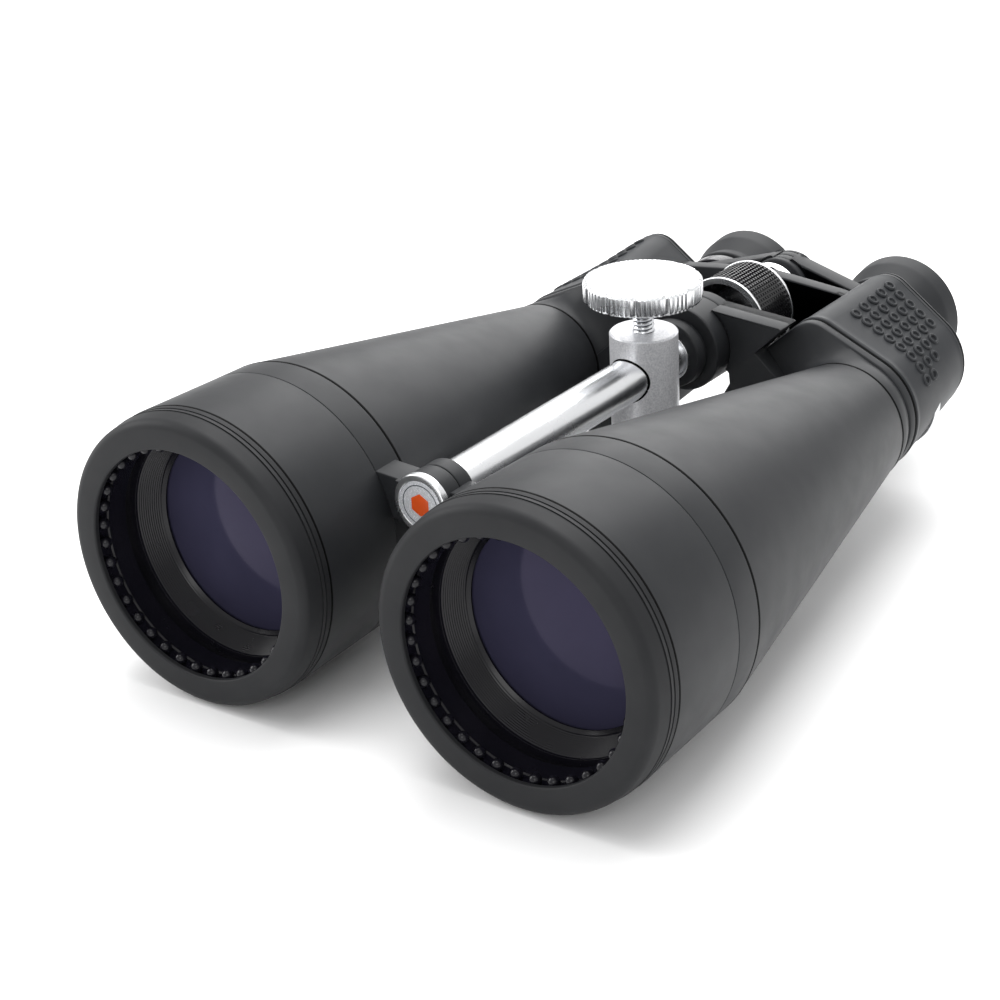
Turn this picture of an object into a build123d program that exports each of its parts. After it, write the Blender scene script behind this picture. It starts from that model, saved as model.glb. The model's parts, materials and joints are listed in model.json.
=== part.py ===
"""Astronomy binoculars, 80 mm objectives, as separate pieces.

Stations (y) are counted from the front face of the hoods towards the eyepieces, and heights (z)
from the two objective axes.  x is 0 in the plane between the barrels.  write_parts() moves every
piece so that the origin is under the middle of the binoculars, level with the lowest point.
"""
import os
from math import cos, radians, sin

from build123d import *

os.makedirs("parts", exist_ok=True)

# Driving dimensions, in millimetres
LENGTH = 320.0           # hood face to eyecup rim
BARREL_X = 65.45         # objective axis from the middle plane
HINGE_Z = 20.0           # rod and hinge axis over the objective axes
EYE_X = 35.0             # eyepiece axis from the middle plane, for 70 mm between the eyes
EYE_Z = 3.0              # eyepiece axis over the objective axes
FIT = 0.05               # radial clearance of a running fit
GAP = 0.3                # space between pieces that pass each other

# Hood, sleeve and front bracket
HOOD_R = 52.25           # largest radius, at the seam behind the grooves
HOOD_END = 12.2
MOUTH_R = 41.0
SLEEVE_R = 51.25         # sleeve radius where it meets the bracket band
SLEEVE_BORE = 46.0
BAND_START = 47.9
BAND_END = 60.5
BAND_R = 50.95
BAND_BORE = 47.4
HOOD_GROOVES = (7.6, 9.5)
GROOVE_WIDTH = 0.5
BRACKET_ARM = [(2, 24.2, 0), (32, 26.6, 0), (32, 8, 0), (2, 11.4, 0)]

# Objective cell and lenses
BEAD_COUNT = 36
BEAD_R = 2.1
BEAD_CIRCLE_R = 41.0
BEAD_TURN = 3.8          # degrees from +z to the first bead
BEAD_Y = 4.4
BEAD_WALL_R = 42.7       # wall that the beads sit on
BEAD_RING_END = 15.7
CELL_START = 20.1
CELL_END = 46.0
LENS_R = 40.0
LENS_LIP_R = 35.7
LENS_START = 31.5        # edge of the front lens
CROWN_EDGE = 5.0
FLINT_EDGE = 6.0

# Barrel cone
CONE_END = 211.3
CONE_END_R = 23.6
CONE_WALL = 2.2
SPIGOT_START = 50.0
SPIGOT_WALL = 2.0

# Prism housing: circles (x, z, r) whose common hull is its outer outline
HOUSING_CIRCLES = [(65.45, -1, 24), (47.5, 24.5, 11), (31, 10, 10), (31, -14, 10), (47, -22, 11)]
HOUSING_START = 224.0
HOUSING_END = 271.0
REAR_END = 275.0
COVER_WALL = 1.6
HOUSING_WALL = 2.4
SHELF_START = 245.0
SHELF_WALL = 4.0
PRISM_LENGTH = 33.0      # long side of the prism
PRISM_WIDTH = 15.0
PRISM_TIP = 2.5          # ground off each sharp end
LIGHT_R = 7.0            # holes in the shelf for the light
GUIDE_R = 13.0
GUIDE_END = 275.5        # clear of the eyepiece shoulder at full travel
COVER_SCREWS = [(76.0, -4.5), (72.0, 15.0), (50.5, 29.5), (48.0, -20.0)]
COVER_SCREW_R = 1.25
COVER_SCREW_HEAD_R = 2.4
GRUB_X = 27.7
GRUB_Z = 15.5
GRUB_R = 2.6
GRUB_LENGTH = 6.0
FRONT_ARM = [
    (1, 20, 0), (9, 34.3, 1.0), (39, 32, 6.0), (56, 20, 4.0), (56, -16, 4.0), (30, -20, 4.0),
    (20, -14, 4.0), (13.4, 0.7, 3.0), (18.7, 9.5, 6.0),
]

# Rod, cap, hinge shaft and collars
ROD_R = 8.0
CAP_R = 10.7
CAP_START = 43.6
ROD_START = 46.1
ROD_END = 196.5
KNUCKLE_R = 10.4         # bracket knuckles on the rod
WASHER_R = 9.3
RING_R = 16.5            # large hinge ring
RING_START = 204.0
RING_SPLIT = 218.2
FRONT_ARM_START = 212.0
HUB_R = 12.6             # rear hinge and bridge hubs
REAR_ARM_START = 262.0
REAR_ARM_SPLIT = 265.0
REAR_ARM_END = 268.0
COLLAR_END = 274.8
KNUCKLE_CAP_R = 13.0
KNUCKLE_CAP_STEP = 201.2
KNUCKLE_CAP_NECK_R = 11.8
BADGE_R = 8.5
SPINDLE_R = 5.0
SPINDLE_START = 232.0
SPINDLE_BORE_START = 228.0

# Focus wheel and eyepiece bridge
WHEEL_START = 236.0
WHEEL_END = 259.0
WHEEL_R = 17.5
RIM_R = 17.9
RIM_WIDTH = 1.0
WHEEL_HOLLOW_R = 15.4    # hollow in the wheel's front
WHEEL_WEB = 252.0
WHEEL_HUB_START = 246.0
WHEEL_HUB_R = 11.0
BRIDGE_START = 278.4
BRIDGE_ARM_START = 281.0
BRIDGE_ARM_SPLIT = 285.0
BRIDGE_ARM_END = 289.0
BRIDGE_END = 291.5
EYE_RING_R = 19.2

# Eyepieces
TUBE_START = 266.0
TUBE_R = 9.6             # nose that slides in the housing's guide
TUBE_BORE = 8.0
BARREL_R = 16.0
SHOULDER_START = 280.4
DIOPTER_START = 289.4
DIOPTER_END = 296.4
DIOPTER_R = 20.2
FINGER_GROOVES = 24
FINGER_GROOVE_R = 0.7
FINGER_GROOVE_LENGTH = 4.6
HEAD_START = 298.4
HEAD_R = 18.6
HEAD_END = 311.0
EYE_BORE = 12.0
EYE_LENS_R = 11.98
TUBE_STEP = 282.4        # where the nose's bore meets the eyepiece bore
CUP_R = 24.2

# Tripod post and clamp
POST_Y = 179.5
POST_R = 12.6
POST_TOP = 35.5
POST_BOTTOM = -26.0
SOCKET_R = 3.175         # quarter-inch tripod thread
SOCKET_DEPTH = 12.0
SCREW_R = 3.95
SCREW_BORE = 4.0
KNOB_R = 21.7
KNOB_BOTTOM = 47.6
KNOB_TOP = 55.6
KNOB_NOTCHES = 12
NOTCH_R = 1.6
NOTCH_TURN = -5.3        # degrees from +x to the first notch
NOTCH_CENTRE_R = 22.3
KNOB_SOCKET = 52.6       # top of the screw inside the knob
PAD_TOP = 30.0
SCREW_START = 30.2

# Stations of each half's share of the hinge: knuckle on the rod, large ring, rear hub, bridge hub
HINGE_SLOTS = {
    "left": ((46.4, 53.5), (RING_START, RING_SPLIT - GAP / 2),
             (REAR_ARM_SPLIT + GAP / 2, REAR_ARM_END), (BRIDGE_ARM_SPLIT + GAP / 2, BRIDGE_ARM_END)),
    "right": ((53.8, 60.2), (RING_SPLIT + GAP / 2, HOUSING_START),
              (REAR_ARM_START, REAR_ARM_SPLIT - GAP / 2),
              (BRIDGE_ARM_START, BRIDGE_ARM_SPLIT - GAP / 2)),
}

MIRROR = Plane.YZ
nodes = {}


# Shape helpers

def turned(corners, x=0.0, z=0.0):
    """Turn an outline about an axis along y. Corners are (radius, station, rounding)."""
    points = [(corner[0], corner[1]) for corner in corners]
    rounds = [corner[2] if len(corner) > 2 else 0.0 for corner in corners]
    profile = FilletPolyline(*points, radius=rounds, close=True)
    return Pos(x, 0, z) * revolve(make_face(profile.edges()), axis=Axis.Y)


def ring(outer, inner, start, end, x=0.0, z=0.0):
    """Plain ring, or a cylinder where inner is 0, along y."""
    return turned([(inner, start), (outer, start), (outer, end), (inner, end)], x, z)


def upright(radius, low, high, station=POST_Y):
    """Cylinder along z."""
    return Pos(0, station, (low + high) / 2) * Cylinder(radius, high - low)


def hull(circles, inset=0.0):
    """Flat outline round a set of circles, drawn in x and z."""
    rims = []
    for x, z, radius in circles:
        rims += (Pos(x, z) * Circle(radius - inset)).edges()
    return make_hull(rims)


def outline(corners):
    """Flat outline with rounded corners (x, z, rounding)."""
    points = [(corner[0], corner[1]) for corner in corners]
    rounds = [corner[2] for corner in corners]
    return make_face(FilletPolyline(*points, radius=rounds, close=True).edges())


def plate(flat, start, end):
    """Extrude an x-z outline between two stations."""
    return extrude(Plane.XZ.offset(-start) * flat, amount=-(end - start))


def below_hinge(limit_deg, start, end):
    """Block that fills the half space past a line through the hinge axis, limit_deg from +x."""
    reach = 120.0
    block = Pos(-reach / 2, (start + end) / 2, 0) * Box(reach, end - start, 2 * reach)
    return Pos(0, 0, HINGE_Z) * Rot(0, -90 - limit_deg, 0) * block


def put(name, right):
    """Keep a piece of the right half, and its mirror image for the left half."""
    nodes["right_" + name] = right
    nodes["left_" + name] = mirror(right, about=MIRROR)


# Objective end

def objective_hood():
    body = turned([
        (MOUTH_R, 0.0, 0.7), (HOOD_R - 1.2, 0.0, 5.0), (HOOD_R, HOOD_END),
        (SLEEVE_BORE, HOOD_END), (SLEEVE_BORE, 2.0), (MOUTH_R, 2.0),
    ], BARREL_X)
    for station in HOOD_GROOVES:
        body -= ring(HOOD_R + 1, HOOD_R - 1.1, station, station + GROOVE_WIDTH, BARREL_X)
    return body


def objective_sleeve():
    return turned([
        (SLEEVE_BORE, HOOD_END), (HOOD_R - 0.4, HOOD_END), (HOOD_R - 0.4, HOOD_END + 0.5),
        (HOOD_R, HOOD_END + 0.5), (SLEEVE_R, BAND_START), (SLEEVE_BORE, BAND_START),
    ], BARREL_X)


def bead_ring():
    """Band behind the mouth, with a row of round beads in front of it."""
    body = turned([
        (BEAD_WALL_R, 2.0), (SLEEVE_BORE, 2.0), (SLEEVE_BORE, BEAD_RING_END),
        (41.5, BEAD_RING_END, 0.3), (42.3, 8.2), (BEAD_WALL_R, 7.6),
    ], BARREL_X)
    for index in range(BEAD_COUNT):
        turn = 360.0 / BEAD_COUNT * index + BEAD_TURN
        bead = Pos(0, BEAD_Y, BEAD_CIRCLE_R) * Sphere(BEAD_R)
        body += Pos(BARREL_X, 0, 0) * Rot(0, turn, 0) * bead
    return body


def retaining_ring():
    return ring(SLEEVE_BORE, 44.2, BEAD_RING_END, CELL_START, BARREL_X)


def objective_cell():
    return turned([
        (SLEEVE_BORE, CELL_START), (SLEEVE_BORE, CELL_END), (LENS_R, CELL_END),
        (LENS_R, 29.8), (LENS_LIP_R, 29.8), (37.1, 28.2), (41.3, CELL_START, 0.4),
    ], BARREL_X)


def lens_face(radius, edge, sag):
    """Outline of one lens face. It bends forward if the sag is negative, and 0 makes it flat."""
    if sag == 0:
        return Line((radius, edge), (-radius, edge)).edge()
    return ThreePointArc((radius, edge), (0, edge + sag), (-radius, edge)).edge()


def lens(front_edge, rear_edge, front_sag, rear_sag, radius=LENS_R, x=BARREL_X, z=0.0):
    """Lens between two edge stations."""
    flat = make_face([
        lens_face(radius, front_edge, front_sag),
        lens_face(radius, rear_edge, rear_sag),
        Line((radius, front_edge), (radius, rear_edge)).edge(),
        Line((-radius, front_edge), (-radius, rear_edge)).edge(),
    ])
    half = flat & Pos(radius, (front_edge + rear_edge) / 2) * Rectangle(2 * radius, 4 * radius)
    return Pos(x, 0, z) * revolve(half, axis=Axis.Y)


def crown_lens():
    return lens(LENS_START, LENS_START + CROWN_EDGE, -4.2, 3.4)


def flint_lens():
    front = LENS_START + CROWN_EDGE + 0.1
    return lens(front, front + FLINT_EDGE, 3.4, 0.8)


def bracket_reach(knuckle):
    """Arm of the front bracket, cut back from the other half's knuckle."""
    start, end = BAND_START, BAND_END - 1.5
    arm = plate(outline(BRACKET_ARM), start, end)
    for near, far in ((start, knuckle[0]), (knuckle[1], end)):
        if far > near:
            arm -= ring(KNUCKLE_R + GAP, 0, near, far, 0, HINGE_Z)
    return arm - ring(49.0, 0, start - 1, end + 1, BARREL_X)


def front_bracket(knuckle):
    """Band round the barrel with an arm to one knuckle on the rod."""
    body = turned([
        (BAND_BORE, BAND_START), (SLEEVE_R - 0.25, BAND_START), (SLEEVE_R - 0.25, BAND_START + 0.4),
        (SLEEVE_R, BAND_START + 0.4), (BAND_R, BAND_END), (BAND_BORE, BAND_END),
    ], BARREL_X)
    body += bracket_reach(knuckle)
    body += ring(KNUCKLE_R, 0, knuckle[0], knuckle[1], 0, HINGE_Z)
    return body - ring(ROD_R + FIT, 0, CAP_START, BAND_END + 1, 0, HINGE_Z)


def barrel_cone():
    slope = (BAND_R - CONE_END_R) / (CONE_END - BAND_END)
    return turned([
        (BAND_BORE - SPIGOT_WALL, SPIGOT_START), (BAND_BORE, SPIGOT_START),
        (BAND_BORE, BAND_END), (BAND_R - 1.2, BAND_END), (BAND_R - 1.2, BAND_END + 0.7),
        (BAND_R - 0.7 * slope, BAND_END + 0.7), (CONE_END_R, CONE_END),
        (CONE_END_R - CONE_WALL, CONE_END), (BAND_BORE - SPIGOT_WALL, BAND_END + 8),
    ], BARREL_X)


# Prism housing

def hinge_arm(flat, span, own, hub_r):
    """Plate with a hub on the hinge axis between the two stations in own."""
    arm = plate(flat, *span)
    arm -= below_hinge(-70.0, span[0] - 1, span[1] + 1)
    for start, end in ((span[0], own[0]), (own[1], span[1])):
        if end > start:
            arm -= ring(hub_r + GAP, 0, start, end, 0, HINGE_Z)
    arm += ring(hub_r, 0, own[0], own[1], 0, HINGE_Z)
    return arm - ring(ROD_R + FIT, 0, span[0] - 20, span[1] + 20, 0, HINGE_Z)


def front_arm(own):
    return hinge_arm(outline(FRONT_ARM), (FRONT_ARM_START, HOUSING_START), own, RING_R)


def rear_arm(own):
    flat = hull([(0, HINGE_Z, HUB_R), (33, 14, 15.5)])
    return hinge_arm(flat, (REAR_ARM_START, REAR_ARM_END), own, HUB_R)


def collar():
    """Shoulder that blends the round cone end into the housing outline."""
    start = Plane.XZ.offset(-CONE_END) * (Pos(BARREL_X, 0) * Circle(CONE_END_R))
    end = Plane.XZ.offset(-HOUSING_START) * hull(HOUSING_CIRCLES, COVER_WALL)
    return loft([start.face(), end.face()])


def prism_housing(arms):
    wall_start = HOUSING_START + HOUSING_WALL
    body = collar() + plate(hull(HOUSING_CIRCLES, COVER_WALL), HOUSING_START, HOUSING_END)
    for arm in arms:
        body += arm
    body -= plate(hull(HOUSING_CIRCLES, COVER_WALL + HOUSING_WALL), wall_start, HOUSING_END)
    body -= ring(CONE_END_R - CONE_WALL, 0, CONE_END, wall_start, BARREL_X)
    return body


def grip_cover(arms):
    """Rubber skin round the housing, with a lip at each end."""
    skin = plate(hull(HOUSING_CIRCLES), HOUSING_START + 0.6, HOUSING_END)
    skin -= plate(hull(HOUSING_CIRCLES, COVER_WALL), HOUSING_START, HOUSING_END)
    for arm in arms:
        skin -= arm
    return skin


def rear_cover():
    """Plate that closes the housing, with the guide that the eyepiece tube slides in."""
    edge = hull(HOUSING_CIRCLES, 0.5)
    body = plate(edge, HOUSING_END, REAR_END)
    body += ring(GUIDE_R, 0, HOUSING_END, GUIDE_END, EYE_X, EYE_Z)
    body -= ring(TUBE_R + FIT, 0, HOUSING_END - 1, GUIDE_END + 1, EYE_X, EYE_Z)
    for x, z in COVER_SCREWS:
        body -= ring(COVER_SCREW_R, 0, HOUSING_END - 1, REAR_END + 1, x, z)
    return body


def cover_screw(x, z):
    """Pan-head screw in the rear cover."""
    head_end = REAR_END + 1.2
    return turned([
        (0, HOUSING_END + 0.4), (COVER_SCREW_R, HOUSING_END + 0.4), (COVER_SCREW_R, REAR_END),
        (COVER_SCREW_HEAD_R, REAR_END), (COVER_SCREW_HEAD_R, head_end, 0.6), (0, head_end),
    ], x, z)


def cover_screws():
    return Compound([cover_screw(x, z).solid() for x, z in COVER_SCREWS])


def prism(station, apex, x, z, turn_deg):
    """Right-angle prism with its long face at a station and its apex forward (-1) or back (1)."""
    half = PRISM_LENGTH / 2
    corners = [(-half + PRISM_TIP, 0), (half - PRISM_TIP, 0), (half - PRISM_TIP, apex * PRISM_TIP),
               (0, apex * half), (-half + PRISM_TIP, apex * PRISM_TIP)]
    flat = make_face(Polyline(*corners, close=True).edges())
    body = extrude(flat, amount=PRISM_WIDTH / 2, both=True)
    return Pos(x, station, z) * Rot(0, -turn_deg, 0) * body


def prism_centres():
    """The light steps sideways by equal amounts, first up and then down to the eyepiece axis."""
    middle = ((BARREL_X + EYE_X) / 2, EYE_Z / 2)
    half_span = (BARREL_X - EYE_X) / 2
    corner = (middle[0], middle[1] + half_span)
    rear = ((BARREL_X + corner[0]) / 2, corner[1] / 2)
    front = ((EYE_X + corner[0]) / 2, (EYE_Z + corner[1]) / 2)
    return corner, rear, front


def prism_shelf():
    """Plate that both prisms rest on, open where the light passes."""
    corner = prism_centres()[0]
    end = SHELF_START + SHELF_WALL
    body = plate(hull(HOUSING_CIRCLES, COVER_WALL + HOUSING_WALL), SHELF_START, end)
    for x, z in ((BARREL_X, 0), corner, (EYE_X, EYE_Z)):
        body -= ring(LIGHT_R, 0, SHELF_START - 1, end + 1, x, z)
    return body


def grub_screw():
    """Set screw in the front face of the hinge arm, with a hexagon socket."""
    end = FRONT_ARM_START + GRUB_LENGTH
    body = ring(GRUB_R, 0, FRONT_ARM_START + 0.4, end, GRUB_X, GRUB_Z)
    socket = Plane.XZ.offset(-FRONT_ARM_START) * (Pos(GRUB_X, GRUB_Z) * RegularPolygon(1.35, 6))
    return body - extrude(socket, amount=-2.6)


# Eyepieces

def bridge_arm(own):
    flat = hull([(0, HINGE_Z, HUB_R), (EYE_X, EYE_Z, EYE_RING_R)])
    arm = hinge_arm(flat, (BRIDGE_ARM_START, BRIDGE_ARM_END), own, HUB_R)
    return arm - ring(BARREL_R + FIT, 0, BRIDGE_ARM_START - 1, BRIDGE_ARM_END + 1, EYE_X, EYE_Z)


def ocular_tube():
    """Eyepiece tube, with the head that carries the eyecup."""
    return turned([
        (TUBE_BORE, TUBE_START), (TUBE_R, TUBE_START, 0.5), (TUBE_R, SHOULDER_START),
        (BARREL_R, SHOULDER_START), (BARREL_R, HEAD_START), (HEAD_R, HEAD_START),
        (HEAD_R, HEAD_END), (EYE_BORE, HEAD_END), (EYE_BORE, TUBE_STEP), (TUBE_BORE, TUBE_STEP),
    ], EYE_X, EYE_Z)


def fixed_collar():
    """Plain collar of the left eyepiece, where the right one has its diopter ring."""
    return ring(DIOPTER_R, BARREL_R - 1, DIOPTER_START, DIOPTER_END, EYE_X, EYE_Z)


def field_lens():
    return lens(TUBE_STEP + 0.1, TUBE_STEP + 3.6, 0, 1.8, EYE_LENS_R, EYE_X, EYE_Z)


def eye_lens():
    return lens(303.5, 307.0, -1.2, 1.6, EYE_LENS_R, EYE_X, EYE_Z)


def eyecup():
    """Soft cup that flares to a rolled rim, narrow at its fold."""
    return turned([
        (HEAD_R, HEAD_START), (20.6, HEAD_START, 0.8), (20.2, 303.0, 3.0), (23.2, 311.0, 8.0),
        (CUP_R, LENGTH - 1.5, 1.0), (CUP_R - 1.2, LENGTH, 0.6), (CUP_R - 3.0, LENGTH, 1.0),
        (15.5, 312.8, 2.0), (13.2, HEAD_END, 0.0), (HEAD_R, HEAD_END),
    ], EYE_X, EYE_Z)


def diopter_ring():
    """Ring that turns to focus the right eyepiece alone, with finger ribs."""
    body = ring(DIOPTER_R, BARREL_R + FIT, DIOPTER_START, DIOPTER_END, EYE_X, EYE_Z)
    for index in range(FINGER_GROOVES):
        turn = radians(360.0 / FINGER_GROOVES * index)
        place = Pos(EYE_X + DIOPTER_R * cos(turn), (DIOPTER_START + DIOPTER_END) / 2,
                    EYE_Z + DIOPTER_R * sin(turn))
        body -= place * Rot(90, 0, 0) * Cylinder(FINGER_GROOVE_R, FINGER_GROOVE_LENGTH)
    return body


# Pieces on the middle plane

def rod_cap():
    return turned([
        (0, CAP_START + 0.6), (BADGE_R, CAP_START + 0.6), (BADGE_R, CAP_START),
        (CAP_R, CAP_START, 0.7),
        (CAP_R, ROD_START), (0, ROD_START),
    ], 0, HINGE_Z)


def knuckle_cap():
    """Stepped black collar between the washer and the large hinge ring."""
    return turned([
        (ROD_R, ROD_END), (KNUCKLE_CAP_R, ROD_END, 0.6), (KNUCKLE_CAP_R, KNUCKLE_CAP_STEP),
        (KNUCKLE_CAP_NECK_R, KNUCKLE_CAP_STEP), (KNUCKLE_CAP_NECK_R, RING_START - GAP),
        (ROD_R, RING_START - GAP),
    ], 0, HINGE_Z)


def hinge_shaft():
    body = ring(ROD_R, 0, ROD_END, COLLAR_END, 0, HINGE_Z)
    return body - ring(SPINDLE_R + FIT, 0, SPINDLE_BORE_START, COLLAR_END + 1, 0, HINGE_Z)


def focus_wheel():
    """Grip drum, open at the front, with a web and a hub at the back."""
    start = WHEEL_START + RIM_WIDTH
    end = WHEEL_END - RIM_WIDTH
    return turned([
        (ROD_R + FIT, WHEEL_HUB_START), (WHEEL_HUB_R, WHEEL_HUB_START, 0.5),
        (WHEEL_HUB_R, WHEEL_WEB), (WHEEL_HOLLOW_R, WHEEL_WEB), (WHEEL_HOLLOW_R, start),
        (WHEEL_R, start), (WHEEL_R, end), (ROD_R + FIT, end),
    ], 0, HINGE_Z)


def focus_wheel_rims():
    """Bright ring at each end of the drum."""
    front = turned([
        (WHEEL_HOLLOW_R, WHEEL_START), (RIM_R, WHEEL_START, 0.5),
        (RIM_R, WHEEL_START + RIM_WIDTH), (WHEEL_HOLLOW_R, WHEEL_START + RIM_WIDTH),
    ], 0, HINGE_Z)
    rear = turned([
        (WHEEL_HOLLOW_R, WHEEL_END - RIM_WIDTH), (RIM_R, WHEEL_END - RIM_WIDTH),
        (RIM_R, WHEEL_END, 0.5), (WHEEL_HOLLOW_R, WHEEL_END),
    ], 0, HINGE_Z)
    return Compound([front.solid(), rear.solid()])


def bridge_hub():
    """Spool that carries both eyepiece arms."""
    return turned([
        (0, BRIDGE_START + 2), (SPINDLE_R, BRIDGE_START + 2), (SPINDLE_R, BRIDGE_START),
        (HUB_R, BRIDGE_START, 0.6), (HUB_R, BRIDGE_ARM_START - GAP),
        (ROD_R, BRIDGE_ARM_START - GAP), (ROD_R, BRIDGE_ARM_END + GAP),
        (HUB_R, BRIDGE_ARM_END + GAP), (HUB_R, BRIDGE_END, 1.2), (0, BRIDGE_END),
    ], 0, HINGE_Z)


def tripod_post():
    body = upright(POST_R, POST_BOTTOM, POST_TOP)
    body = chamfer(body.edges().filter_by(GeomType.CIRCLE), 0.6)
    body -= ring(ROD_R + FIT, 0, POST_Y - 20, POST_Y + 20, 0, HINGE_Z)
    body -= upright(SCREW_BORE, HINGE_Z, POST_TOP + 1)
    return body - upright(SOCKET_R, POST_BOTTOM - 1, POST_BOTTOM + SOCKET_DEPTH)


def clamp_knob():
    body = upright(KNOB_R, KNOB_BOTTOM, KNOB_TOP)
    body = chamfer(body.edges().filter_by(GeomType.CIRCLE), 1.2)
    for index in range(KNOB_NOTCHES):
        turn = radians(360.0 / KNOB_NOTCHES * index + NOTCH_TURN)
        x = NOTCH_CENTRE_R * cos(turn)
        y = POST_Y + NOTCH_CENTRE_R * sin(turn)
        height = 2 * (KNOB_TOP - KNOB_BOTTOM)
        body -= Pos(x, y, (KNOB_BOTTOM + KNOB_TOP) / 2) * Cylinder(NOTCH_R, height)
    return body - upright(SCREW_R, KNOB_BOTTOM - 1, KNOB_SOCKET)


# Assembly

def barrel_pieces():
    """Both barrels. The two halves share every shape but the hinge knuckles."""
    put("objective_hood", objective_hood())
    put("objective_sleeve", objective_sleeve())
    put("bead_ring", bead_ring())
    put("retaining_ring", retaining_ring())
    put("objective_cell", objective_cell())
    put("crown_lens", crown_lens())
    put("flint_lens", flint_lens())
    put("barrel_cone", barrel_cone())
    put("rear_cover", rear_cover())
    put("cover_screws", cover_screws())
    put("prism_shelf", prism_shelf())
    put("grub_screw", grub_screw())
    corner, rear, front = prism_centres()
    put("prism_rear", prism(SHELF_START + SHELF_WALL, 1, *rear, 135.0))
    put("prism_front", prism(SHELF_START, -1, *front, 45.0))


def hinged_pieces(side, slots, flip):
    """Brackets, housing, cover and bridge arm of one half, on its own share of each hinge."""
    knuckle, ring_slot, rear_slot, bridge_slot = slots
    arms = [front_arm(ring_slot), rear_arm(rear_slot)]
    hole = ring(GRUB_R, 0, FRONT_ARM_START - 1, FRONT_ARM_START + GRUB_LENGTH, GRUB_X, GRUB_Z)
    pieces = {
        "front_bracket": front_bracket(knuckle),
        "prism_housing": prism_housing(arms) - hole,
        "grip_cover": grip_cover(arms),
        "bridge_arm": bridge_arm(bridge_slot),
    }
    for name, piece in pieces.items():
        nodes[side + "_" + name] = flip(piece)


def eyepiece_pieces():
    put("field_lens", field_lens())
    put("eye_lens", eye_lens())
    put("eyecup", eyecup())
    nodes["right_ocular_tube"] = ocular_tube()
    nodes["left_ocular_tube"] = mirror(ocular_tube() + fixed_collar(), about=MIRROR)
    nodes["diopter_ring"] = diopter_ring()


def middle_pieces():
    nodes["rod"] = ring(ROD_R, 0, ROD_START, ROD_END, 0, HINGE_Z)
    nodes["rod_cap"] = rod_cap()
    nodes["rod_badge"] = ring(BADGE_R - 0.2, 0, CAP_START + 0.1, CAP_START + 0.6, 0, HINGE_Z)
    nodes["rod_washer"] = ring(WASHER_R, ROD_R, ROD_END - 1.9, ROD_END, 0, HINGE_Z)
    nodes["knuckle_cap"] = knuckle_cap()
    nodes["hinge_shaft"] = hinge_shaft()
    nodes["rear_collar"] = ring(HUB_R, ROD_R, REAR_ARM_END + GAP, COLLAR_END, 0, HINGE_Z)
    nodes["focus_wheel"] = focus_wheel()
    nodes["focus_wheel_rims"] = focus_wheel_rims()
    nodes["focus_spindle"] = ring(SPINDLE_R, 0, SPINDLE_START, BRIDGE_START + 2, 0, HINGE_Z)
    nodes["bridge_hub"] = bridge_hub()
    nodes["tripod_post"] = tripod_post()
    nodes["clamp_knob"] = clamp_knob()
    nodes["clamp_screw"] = upright(SCREW_R, SCREW_START, KNOB_SOCKET)
    nodes["clamp_pad"] = upright(SCREW_BORE - 0.1, HINGE_Z + ROD_R + FIT, PAD_TOP)


def write_parts():
    """Write every piece with the origin under the middle, level with the hoods' lowest point."""
    for name, piece in nodes.items():
        export_step(Pos(0, -LENGTH / 2, HOOD_R) * piece, "parts/" + name + ".step")


barrel_pieces()
hinged_pieces("right", HINGE_SLOTS["right"], lambda piece: piece)
hinged_pieces("left", HINGE_SLOTS["left"], lambda piece: mirror(piece, about=MIRROR))
eyepiece_pieces()
middle_pieces()
write_parts()
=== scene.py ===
"""Looks of a pair of astronomy binoculars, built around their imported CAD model.

Sizes are in millimetres in the binoculars' own stations: x is 0 between the barrels, y counts from the
hood faces towards the eyepieces, and z counts from the two objective axes. place() turns them into the
frame's metres. Most round pieces are turned from an outline, so that their edges are truly rounded.
"""
import json
from math import acos, atan2, cos, degrees, hypot, pi, radians, sin, sqrt, tan

import bmesh
import bpy
from mathutils import Matrix, Vector


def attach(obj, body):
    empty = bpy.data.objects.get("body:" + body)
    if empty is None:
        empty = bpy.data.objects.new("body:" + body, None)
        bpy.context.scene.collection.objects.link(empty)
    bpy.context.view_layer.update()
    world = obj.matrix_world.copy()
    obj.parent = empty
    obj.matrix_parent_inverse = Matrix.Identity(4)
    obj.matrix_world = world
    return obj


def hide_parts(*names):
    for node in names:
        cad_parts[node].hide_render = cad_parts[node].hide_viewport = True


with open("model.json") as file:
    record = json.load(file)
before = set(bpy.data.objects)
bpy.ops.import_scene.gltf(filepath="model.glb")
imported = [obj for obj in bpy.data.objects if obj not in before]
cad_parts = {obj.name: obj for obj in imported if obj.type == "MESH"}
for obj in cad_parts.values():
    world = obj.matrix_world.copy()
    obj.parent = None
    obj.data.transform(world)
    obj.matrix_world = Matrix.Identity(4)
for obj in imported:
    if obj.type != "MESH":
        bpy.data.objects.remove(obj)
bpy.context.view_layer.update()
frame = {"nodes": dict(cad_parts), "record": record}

# Main axes and lengths
MM = 0.001
LENGTH = 320.0
BARREL_X = 65.45
HINGE_Z = 20.0
EYE_X = 35.0
EYE_Z = 3.0
SEGMENTS = 192
SIDES = (("right", 1), ("left", -1))

# Objective end
HOOD_R = 52.25
HOOD_END = 12.2
SLEEVE_R = 51.25
BAND_START = 47.9
BAND_END = 60.5
BAND_R = 50.95
CONE_END = 211.3
CONE_END_R = 23.6
SEAM_DEPTH = 2.0
GROOVE_WIDTH = 0.45
BEAD_COUNT = 36
BEAD_R = 2.1
BEAD_CIRCLE_R = 41.0
BEAD_Y = 4.4
BEAD_TURN = 6.2  # degrees from +x to the first bead
CELL_RIDGES = 11

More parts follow.
